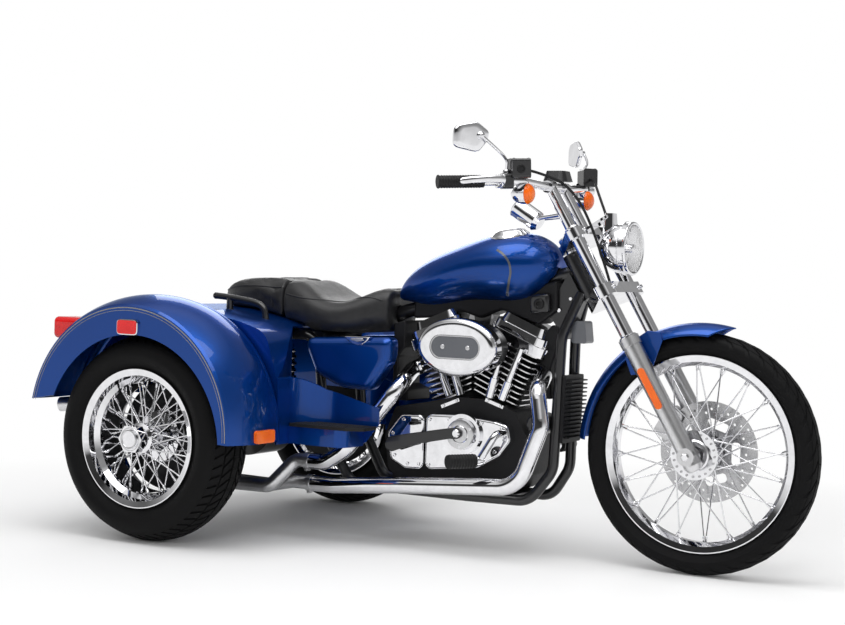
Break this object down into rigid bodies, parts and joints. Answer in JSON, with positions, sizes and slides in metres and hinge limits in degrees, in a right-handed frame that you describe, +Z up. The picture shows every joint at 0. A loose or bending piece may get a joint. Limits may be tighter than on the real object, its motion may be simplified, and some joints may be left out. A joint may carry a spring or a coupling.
{
  "type": "motor trike",
  "caption": "Motor trike with an open V-twin engine, raked fork, laced wire wheels, full rear wings and a long stepped seat; the fork steers and the wheels turn.",
  "frame": {"origin": "on the floor, at the middle of the length and width", "axes": "+X forward, +Y to the rider's left, +Z up"},
  "size_m": [2.3003, 1.3386, 1.2662],
  "materials": {
    "paint": "gloss",
    "chrome": "polished",
    "satin": "satin",
    "black_metal": "satin",
    "rubber": "matt",
    "tyre": "matt",
    "leather": "satin",
    "red_lens": "gloss",
    "amber_lens": "gloss",
    "glass": "gloss",
    "steel": "satin"
  },
  "bodies": {
    "chassis": {"air_cleaner_base": "black_metal", "air_cleaner_cover": "chrome", "air_cleaner_insert": "satin", "amber_markers": "amber_lens", "brake_arm": "black_metal", "cam_cover": "chrome", "cylinders": "black_metal", "engine_case": "black_metal", "exhaust_links": "satin", "exhaust_pipes": "chrome", "fender_left": "paint", "fender_right": "paint", "foot_controls": "chrome", "foot_rubbers": "rubber", "frame": "black_metal", "fuel_cap": "chrome", "fuel_tank": "paint", "grab_rails": "black_metal", "muffler": "satin", "neck_cover": "satin", "oil_filter": "black_metal", "pillion_seat": "leather", "primary_cover": "chrome", "pushrod_tubes": "chrome", "rear_axle": "black_metal", "red_lamps": "red_lens", "regulator": "black_metal", "rider_seat": "leather", "rocker_covers": "chrome", "shock_absorbers": "black_metal", "side_covers": "paint", "side_steps": "paint", "step_pads": "rubber", "tail_body": "paint"},
    "steering": {"fork_tubes": "chrome", "fork_sliders": "satin", "front_axle": "chrome", "fork_clamps": "chrome", "front_fender": "paint", "headlamp_shell": "chrome", "headlamp_lens": "glass", "handlebar": "chrome", "hand_grips": "rubber", "hand_controls": "black_metal", "hand_levers": "chrome", "mirrors": "chrome", "signal_bodies": "chrome", "amber_lenses": "amber_lens", "speedometer": "chrome", "brake_caliper": "satin", "control_cables": "rubber", "bar_pod": "black_metal"},
    "front_wheel": {"front_tyre": "tyre", "front_wheel": "chrome", "brake_disc": "steel"},
    "rear_wheel_right": {"rear_tyre_right": "tyre", "rear_wheel_right": "chrome"},
    "rear_wheel_left": {"rear_tyre_left": "tyre", "rear_wheel_left": "chrome"}
  },
  "joints": [
    {"name": "steer", "type": "hinge", "parent": "chassis", "child": "steering", "pos_m": [0.41893, 0, 0.83658], "axis": [-0.515, 0, 0.8572], "range_deg": [-35, 35]},
    {"name": "front_spin", "type": "hinge", "parent": "steering", "child": "front_wheel", "pos_m": [0.8046, 0, 0.345], "axis": [0, 1, 0], "continuous": true},
    {"name": "rear_right_spin", "type": "hinge", "parent": "chassis", "child": "rear_wheel_right", "pos_m": [-0.7294, -0.545, 0.313], "axis": [0, 1, 0], "continuous": true},
    {"name": "rear_left_spin", "type": "hinge", "parent": "chassis", "child": "rear_wheel_left", "pos_m": [-0.7294, 0.545, 0.313], "axis": [0, 1, 0], "continuous": true}
  ]
}
